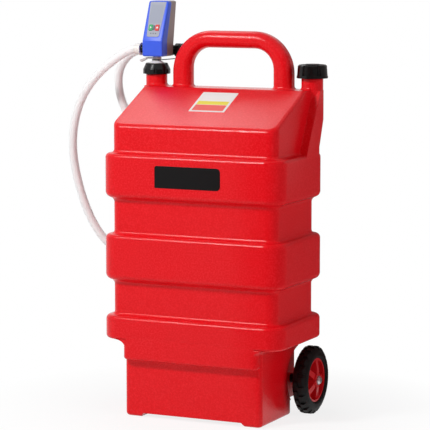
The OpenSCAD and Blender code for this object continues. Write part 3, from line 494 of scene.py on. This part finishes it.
on_slope("sticker_sheet", 0.0, STICKER, STICKER_CORNER, 0, PRINT_WHITE)
on_slope("sticker_yellow", -0.004, (BLOCK_WIDTH, 0.015), BLOCK_CORNER, 1, PRINT_YELLOW)
on_slope("sticker_red", -0.0255, (BLOCK_WIDTH, 0.025), BLOCK_CORNER, 1, PRINT_RED)
print("sticker at:", sticker_middle.round(4))

# %% Plate on the top band
PLATE = (0.157, 0.048)
PLATE_CORNERS = np.array([0.009, 0.005, 0.0015, 0.009])
PLATE_THICK = 0.0008
PLATE_MIDDLE = np.array((-0.0015, -0.128 - DEPTH_SHIFT, 0.538))

sheet_on(
    "front_plate",
    PLATE_MIDDLE,
    ACROSS,
    UPRIGHT,
    rounded_outline(*PLATE, PLATE_CORNERS),
    PLATE_THICK,
    PLATE_BLACK,
    "caddy",
)
print("plate at:", PLATE_MIDDLE)

# %% [markdown]
# ## Prints on the pump
# The panel of the pump leans back with the front shell. A grey window fills its upper part, three
# small marks stand under the two keys and a bar between them. The keys carry the usual run and
# stop marks in white, a triangle and a square, which ride with the keys when they are pressed.

# %% Pump face
STEM_X = -0.1915
STEM_Y = 0.106 - DEPTH_SHIFT
FACE_AHEAD = 0.024
FACE_FOOT_Z = 0.8218
FACE_BACK_MM = 36.0
FACE_RISE_MM = 89.0
INK_THICK = 0.00015

face_lean = math.atan2(FACE_BACK_MM, FACE_RISE_MM)
face_up = np.array((0.0, math.sin(face_lean), math.cos(face_lean)))
face_in = np.array((0.0, math.cos(face_lean), -math.sin(face_lean)))
face_foot = np.array((STEM_X, STEM_Y - FACE_AHEAD, FACE_FOOT_Z))


def on_panel(name, x_mm, z_mm, outline, depth_mm, material, body):
    """A print on the leaning face: x across and z up it in mm, depth measured inward."""
    origin = face_foot + ACROSS * x_mm * MM + face_up * z_mm * MM + face_in * depth_mm * MM
    return sheet_on(name, origin, ACROSS, face_up, outline, INK_THICK, material, body)


# %% Prints on panel and keys
PANEL_DEPTH = -0.3
KEY_DEPTH = -1.8
KEY_X = 8.2
KEY_Z = 31.0
WINDOW_Z = 64.5
MARKS_Z = 17.5

window = rounded_outline(0.030, 0.044, 0.002)
dot = rounded_outline(0.0028, 0.0028, 0.0014)
bar = rounded_outline(0.0042, 0.0115, 0.0008)
square = rounded_outline(0.0042, 0.0042, 0.0004)
triangle = np.array([(0.0024, 0.0), (-0.0016, 0.0026), (-0.0016, -0.0026)])
panel_prints = [
    ("panel_window", 0.0, WINDOW_Z, window, WINDOW_GREY),
    ("panel_mark_0", -6.0, MARKS_Z, dot, PRINT_GREY),
    ("panel_mark_1", 0.0, MARKS_Z, dot, PRINT_GREY),
    ("panel_mark_2", 6.0, MARKS_Z, dot, PRINT_GREY),
    ("panel_mark_mid", 0.0, KEY_Z, bar, PRINT_GREY),
]
for name, x_mm, z_mm, outline, material in panel_prints:
    on_panel(name, x_mm, z_mm, outline, PANEL_DEPTH, material, "caddy")
key_prints = [("run_mark", -KEY_X, triangle, "on_key"), ("stop_mark", KEY_X, square, "off_key")]
for name, x_mm, outline, body in key_prints:
    on_panel(name, x_mm, KEY_Z, outline, KEY_DEPTH, PRINT_WHITE, body)
print("prints on the pump:", len(panel_prints) + len(key_prints))

# %% [markdown]
# ## Floor and light
# The floor is a wide flat sheet of white paper. The key light is a soft box at the upper left in
# front, a second one behind gives the slope its sheen, and a weak fill opens the right-hand side.
# Floor and world are white where the camera, glossy rays or clear pieces look at them, and for
# all other rays the floor is plain paper and the world a dim grey. A photographer tones down the
# shine of one side with a flag: a card that stands out of the picture, and that this side mirrors
# in place of the white room. Here it is part of a cylinder round the caddy, in pale grey, that
# only glossy rays meet.


# %% Rays that look at the background
def math_of(material, operation, first, second):
    """Output of a math node that works on two sockets."""
    links = {0: first, 1: second}
    return add_node(material, "ShaderNodeMath", {"operation": operation}, links).outputs[0]


def looked_at(material):
    """1 on camera, transmission and glossy rays, and 0 on all others: the largest of the three."""
    rays = add_node(material, "ShaderNodeLightPath")
    straight = [rays.outputs["Is Camera Ray"], rays.outputs["Is Transmission Ray"]]
    clear = math_of(material, "MAXIMUM", *straight)
    return math_of(material, "MAXIMUM", clear, rays.outputs["Is Glossy Ray"])


# %% Floor
FLOOR_HALF = 6.0
FLOOR_DROP = 0.0004
PAPER_WHITE = finish("paper_backdrop", "#FFFFFF", 0.9, Specular_IOR_Level=0.0)

floor_x = np.array([-FLOOR_HALF, FLOOR_HALF])[:, None]
floor_y = np.array([FLOOR_HALF, -FLOOR_HALF])[None, :]
floor_points = np.stack(np.broadcast_arrays(floor_x, floor_y, -FLOOR_DROP), axis=-1)
floor = grid_piece("floor", floor_points, PAPER_WHITE, smooth=False)
print("floor points:", floor_points.shape)

# %% Backdrop paper that looks white to the camera and keeps the shadow
SHADOW_REACH = (0.25, 0.6)
GLOW_NEAR, GLOW_FAR = 0.82, 1.0
WHITE = linear("#FFFFFF")

paper = PAPER_WHITE.node_tree
glow = add_node(PAPER_WHITE, "ShaderNodeEmission", {"Color": WHITE, "Strength": 1.0})
place = add_node(PAPER_WHITE, "ShaderNodeTexCoord")
away = add_node(
    PAPER_WHITE,
    "ShaderNodeVectorMath",
    {"operation": "LENGTH"},
    {0: place.outputs["Object"]},
)
fade = add_node(
    PAPER_WHITE,
    "ShaderNodeMapRange",
    {
        "From Min": SHADOW_REACH[0],
        "From Max": SHADOW_REACH[1],
        "To Min": GLOW_NEAR,
        "To Max": GLOW_FAR,
    },
    {"Value": away.outputs["Value"]},
)
share = math_of(PAPER_WHITE, "MULTIPLY", looked_at(PAPER_WHITE), fade.outputs["Result"])
lit = paper.nodes["Principled BSDF"].outputs["BSDF"]
blend = add_node(
    PAPER_WHITE, "ShaderNodeMixShader", {}, {0: share, 1: lit, 2: glow.outputs["Emission"]}
)
paper.links.new(blend.outputs["Shader"], paper.nodes["Material Output"].inputs["Surface"])

# %% Grey flag on the right
FLAG_RADIUS = 0.36
FLAG_SPAN_DEG = (-85.0, 80.0)
FLAG_STEPS = 24
FLAG_HEIGHT = 0.95
CARD_GREY = finish("grey_card", "#CCCCCC", 1.0, Specular_IOR_Level=0.0)

# A point of the flag is (radius cos a, radius sin a, height), for a along the span
turn = np.radians(np.linspace(*FLAG_SPAN_DEG, FLAG_STEPS))[:, None]
rise = np.array([0.0, FLAG_HEIGHT])[None, :]
flag_x, flag_y = FLAG_RADIUS * np.cos(turn), FLAG_RADIUS * np.sin(turn)
flag_points = np.stack(np.broadcast_arrays(flag_x, flag_y, rise), axis=-1)
flag = grid_piece("flag", flag_points, CARD_GREY)
flag.visible_camera = False
flag.visible_diffuse = False
flag.visible_transmission = False
flag.visible_shadow = False
print("flag points:", flag_points.shape)

# %% Lights
AIM = Vector((0.0, 0.0, 0.5))


def soft_box(name, at, size, watts):
    """A square area lamp at a point, turned to the middle of the caddy."""
    lamp = bpy.data.lights.new(name, "AREA")
    lamp.shape = "SQUARE"
    lamp.size = size
    lamp.energy = watts
    box = add_object(name, lamp)
    box.location = at
    box.rotation_euler = turned_to(Vector(at), AIM)
    return box


key_box = soft_box("key_box", at=(-0.95, -1.85, 2.15), size=0.45, watts=47.0)
sheen_box = soft_box("sheen_box", at=(-1.0, 0.75, 2.45), size=0.85, watts=6.8)
side_fill = soft_box("side_fill", at=(2.8, -0.8, 1.3), size=1.6, watts=21.0)
side_fill.visible_glossy = False
print("lamps:", [lamp.name for lamp in (key_box, sheen_box, side_fill)])

# %% World
AMBIENT = 0.2

world = bpy.data.worlds.new("studio")
bpy.context.scene.world = world
world.use_nodes = True
sky = world.node_tree.nodes["Background"]
sky.inputs["Color"].default_value = WHITE
level = add_node(
    world, "ShaderNodeMapRange", {"To Min": AMBIENT, "To Max": 1.0}, {"Value": looked_at(world)}
)
world.node_tree.links.new(level.outputs["Result"], sky.inputs["Strength"])
bpy.context.scene.view_settings.view_transform = "Standard"
print("world light:", AMBIENT)
